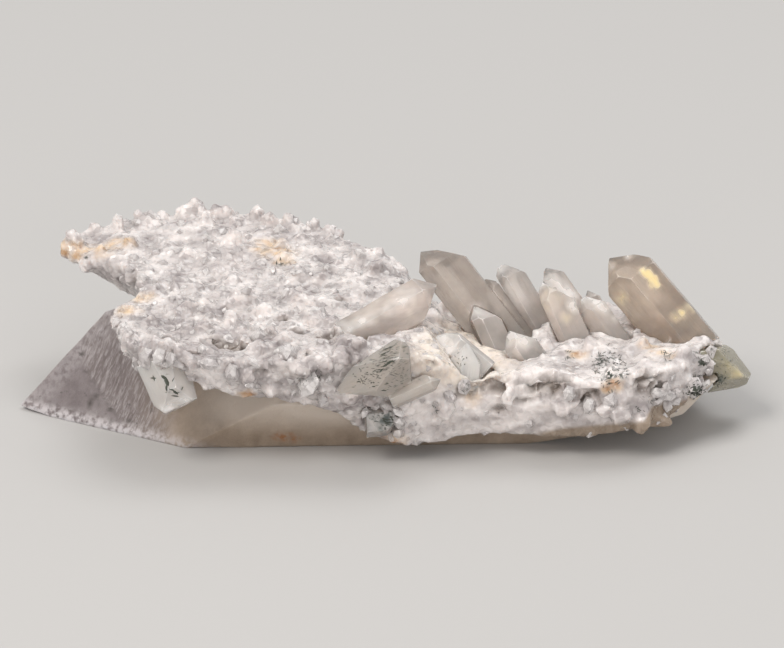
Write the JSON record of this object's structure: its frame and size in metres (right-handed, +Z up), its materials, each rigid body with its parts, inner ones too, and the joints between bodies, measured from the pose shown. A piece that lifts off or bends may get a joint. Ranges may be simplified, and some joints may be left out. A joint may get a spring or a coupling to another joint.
{
  "type": "crystal specimen",
  "caption": "Topaz on quartz: long milky quartz crystal under a drusy white crust, with a row of clear grey-beige prismatic crystals leaning along the back of its right half.",
  "frame": {"origin": "bottom centre of the bounding box, on the plane the specimen rests on", "axes": "+X along the longest extent, from the quartz tip on the left to the greenish tip on the right; +Z up from the rest face, the shortest extent"},
  "size_m": [0.1098, 0.055, 0.024],
  "materials": {
    "base_quartz": "satin",
    "crust": "satin",
    "clear_crystal": "satin",
    "green_quartz": "satin"
  },
  "bodies": {
    "root": {"drusy_crust": "crust", "quartz_crystal": "base_quartz", "quartz_green_tip": "green_quartz", "topaz_beige": "clear_crystal", "topaz_dark_chisel": "clear_crystal", "topaz_green_patch": "clear_crystal", "topaz_hanging": "clear_crystal", "topaz_low_first": "clear_crystal", "topaz_low_second": "clear_crystal", "topaz_milky": "clear_crystal", "topaz_speckled": "clear_crystal", "topaz_upright_behind": "clear_crystal", "topaz_upright_frosted": "clear_crystal", "topaz_upright_large": "clear_crystal", "topaz_upright_pair": "clear_crystal", "topaz_upright_second": "clear_crystal", "topaz_upright_stubby": "clear_crystal"}
  },
  "joints": []
}
